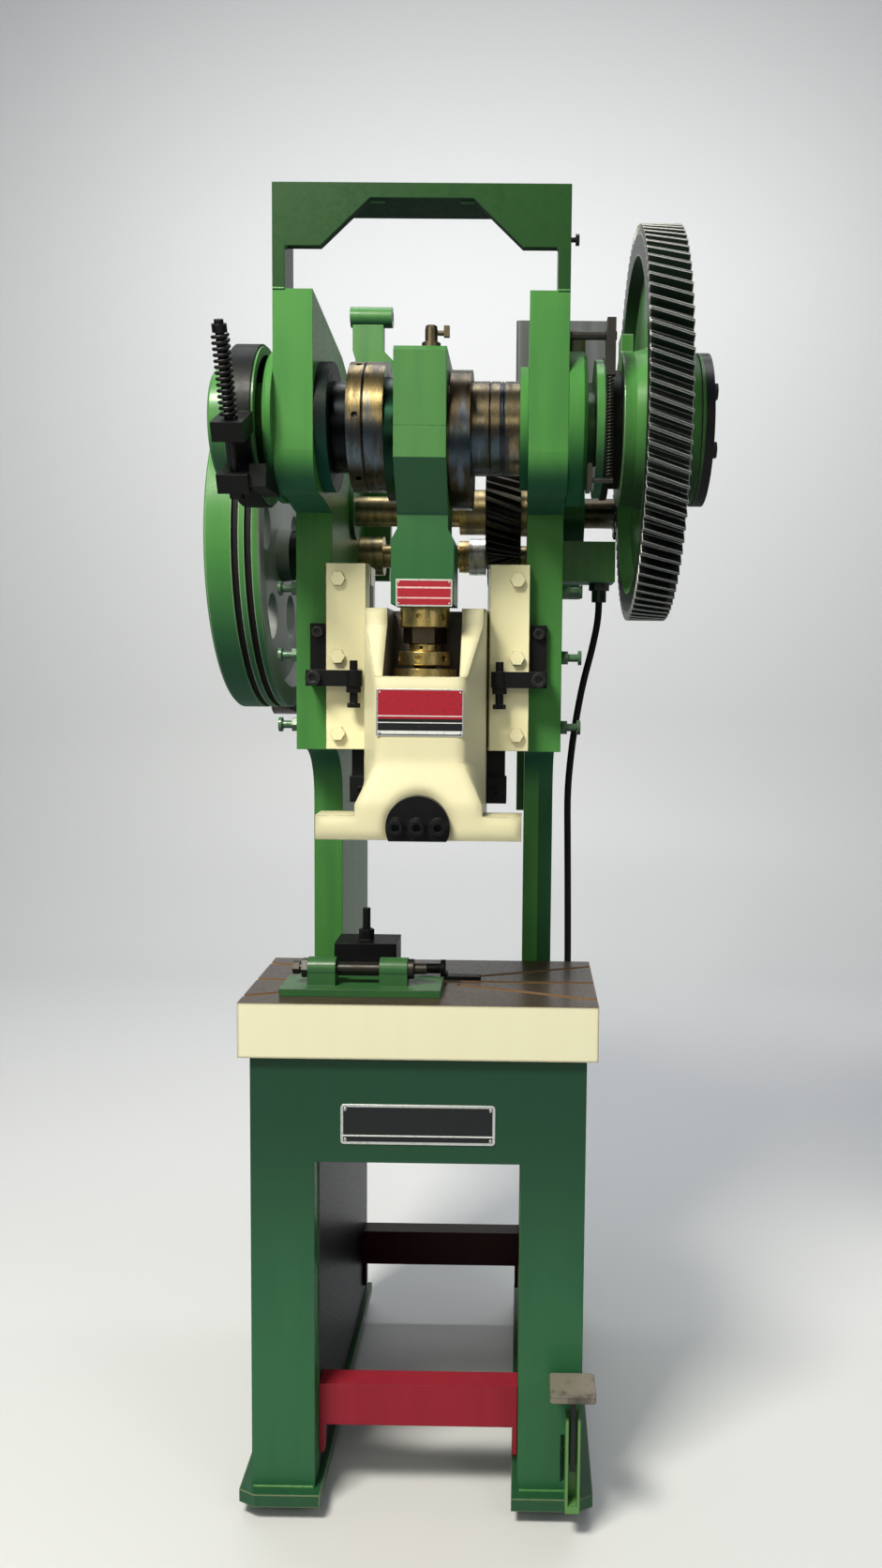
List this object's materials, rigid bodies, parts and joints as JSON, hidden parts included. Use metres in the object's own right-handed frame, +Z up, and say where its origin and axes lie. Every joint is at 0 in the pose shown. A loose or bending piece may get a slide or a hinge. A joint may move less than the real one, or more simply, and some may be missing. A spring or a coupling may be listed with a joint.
{
  "type": "mechanical stamping press",
  "caption": "Geared open-front mechanical stamping press: crank, ram in guides, flywheel drive, band brake, treadle and T-slot table on an open stand.",
  "frame": {"origin": "on the floor, in the middle of the four anchor holes", "axes": "+Z up, +X to the right of the operator who stands in front, +Y away from the operator"},
  "size_m": [0.908, 1.164, 2.213],
  "materials": {
    "green_paint": "gloss",
    "cream_paint": "gloss",
    "red_paint": "gloss",
    "grey_paint": "satin",
    "black_paint": "satin",
    "dark_steel": "satin",
    "bright_steel": "satin",
    "worn_steel": "satin",
    "bronze": "satin",
    "cast_iron": "satin",
    "rubber": "matte"
  },
  "bodies": {
    "frame": {"side_plate_right": "green_paint", "side_plate_left": "green_paint", "foot_plates": "green_paint", "rubber_pads": "rubber", "stand_panel": "green_paint", "bolster_table": "cream_paint", "cross_rails": "red_paint", "rear_webs": "green_paint", "crown_portal": "green_paint", "guide_seats": "cream_paint", "guide_bars": "cream_paint", "frame_screws": "dark_steel", "knockout_brackets": "black_paint", "bearing_housings": "green_paint", "crank_bushes": "bronze", "shaft_flanges": "black_paint", "drive_bushes": "bronze", "motor": "grey_paint", "rear_arms": "green_paint", "starter_box": "grey_paint", "clutch_box": "green_paint", "treadle_cable": "rubber", "treadle_brackets": "dark_steel", "brake_band": "cast_iron", "brake_anchor": "cast_iron", "brake_bolt": "bright_steel", "brake_spring": "bright_steel", "trip_spring": "dark_steel", "trip_mounts": "dark_steel", "v_belts": "rubber", "fixture_base": "green_paint", "fixture_bolt": "dark_steel", "fixture_block": "black_paint"},
    "crank": {"crankshaft": "worn_steel", "journal_rings": "worn_steel", "eccentric_bush": "worn_steel", "brake_drum": "green_paint", "clutch_disc_green": "green_paint", "trip_collar": "black_paint", "end_disc": "green_paint"},
    "rod": {"connecting_rod": "green_paint", "strap_cap": "green_paint", "ball_screw": "bright_steel", "lock_rings": "bronze", "lubricator": "bronze"},
    "tap": {"lubricator_tap": "bronze"},
    "ram": {"ram": "cream_paint", "ball_cup_ring": "bronze", "shank_clamp": "black_paint", "ram_ways": "black_paint"},
    "wheel": {"bull_gear": "green_paint", "gear_bush": "bronze"},
    "pinion_shaft": {"intermediate_shaft": "dark_steel", "inner_gear": "cast_iron"},
    "flywheel": {"flywheel_shaft": "dark_steel", "flywheel": "green_paint"},
    "motor_rotor": {"motor_rotor": "dark_steel"},
    "treadle": {"treadle_lever": "dark_steel", "pedal": "green_paint"},
    "trip_lever": {"trip_lever": "dark_steel"}
  },
  "joints": [
    {"name": "crank_turn", "type": "hinge", "parent": "frame", "child": "crank", "pos_m": [0, -0.235, 1.855], "axis": [1, 0, 0], "range_deg": [0, 180]},
    {"name": "rod_swing", "type": "hinge", "parent": "crank", "child": "rod", "pos_m": [0, -0.235, 1.835], "axis": [1, 0, 0], "range_deg": [-180, 0]},
    {"name": "tap_turn", "type": "hinge", "parent": "rod", "child": "tap", "pos_m": [0.016, -0.335, 1.984], "axis": [1, 0, 0], "range_deg": [0, 90]},
    {"name": "ram_slide", "type": "slide", "parent": "frame", "child": "ram", "axis": [0, 0, 1], "range_m": [0, 0.04]},
    {"name": "flywheel_spin", "type": "hinge", "parent": "frame", "child": "flywheel", "pos_m": [0, 0.21797, 1.68523], "axis": [1, 0, 0], "continuous": true},
    {"name": "intermediate_spin", "type": "hinge", "parent": "frame", "child": "pinion_shaft", "pos_m": [0, 0.10698, 1.76209], "axis": [1, 0, 0], "continuous": true},
    {"name": "gear_spin", "type": "hinge", "parent": "frame", "child": "wheel", "pos_m": [0, -0.235, 1.855], "axis": [1, 0, 0], "continuous": true},
    {"name": "motor_spin", "type": "hinge", "parent": "frame", "child": "motor_rotor", "pos_m": [0, 0.51719, 1.39546], "axis": [1, 0, 0], "continuous": true},
    {"name": "treadle_press", "type": "hinge", "parent": "frame", "child": "treadle", "pos_m": [0.265, 0.09, 0.106], "axis": [1, 0, 0], "range_deg": [0, 3.4], "stiffness_Nm_per_rad": 80, "springref_deg": -17.19},
    {"name": "clutch_trip", "type": "hinge", "parent": "frame", "child": "trip_lever", "pos_m": [0.3, -0.326, 1.985], "axis": [1, 0, 0], "range_deg": [-3.4, 0], "deforming": ["trip_spring"]}
  ],
  "couplings": [
    {"joint": "rod_swing", "follows": "crank_turn", "ratio": -1},
    {"joint": "ram_slide", "follows": "crank_turn", "m_per_rad": 0.012732},
    {"joint": "intermediate_spin", "follows": "flywheel_spin", "ratio": -0.66667},
    {"joint": "gear_spin", "follows": "flywheel_spin", "ratio": 0.094203},
    {"joint": "motor_spin", "follows": "flywheel_spin", "ratio": 7.493},
    {"joint": "clutch_trip", "follows": "treadle_press", "ratio": -1}
  ]
}
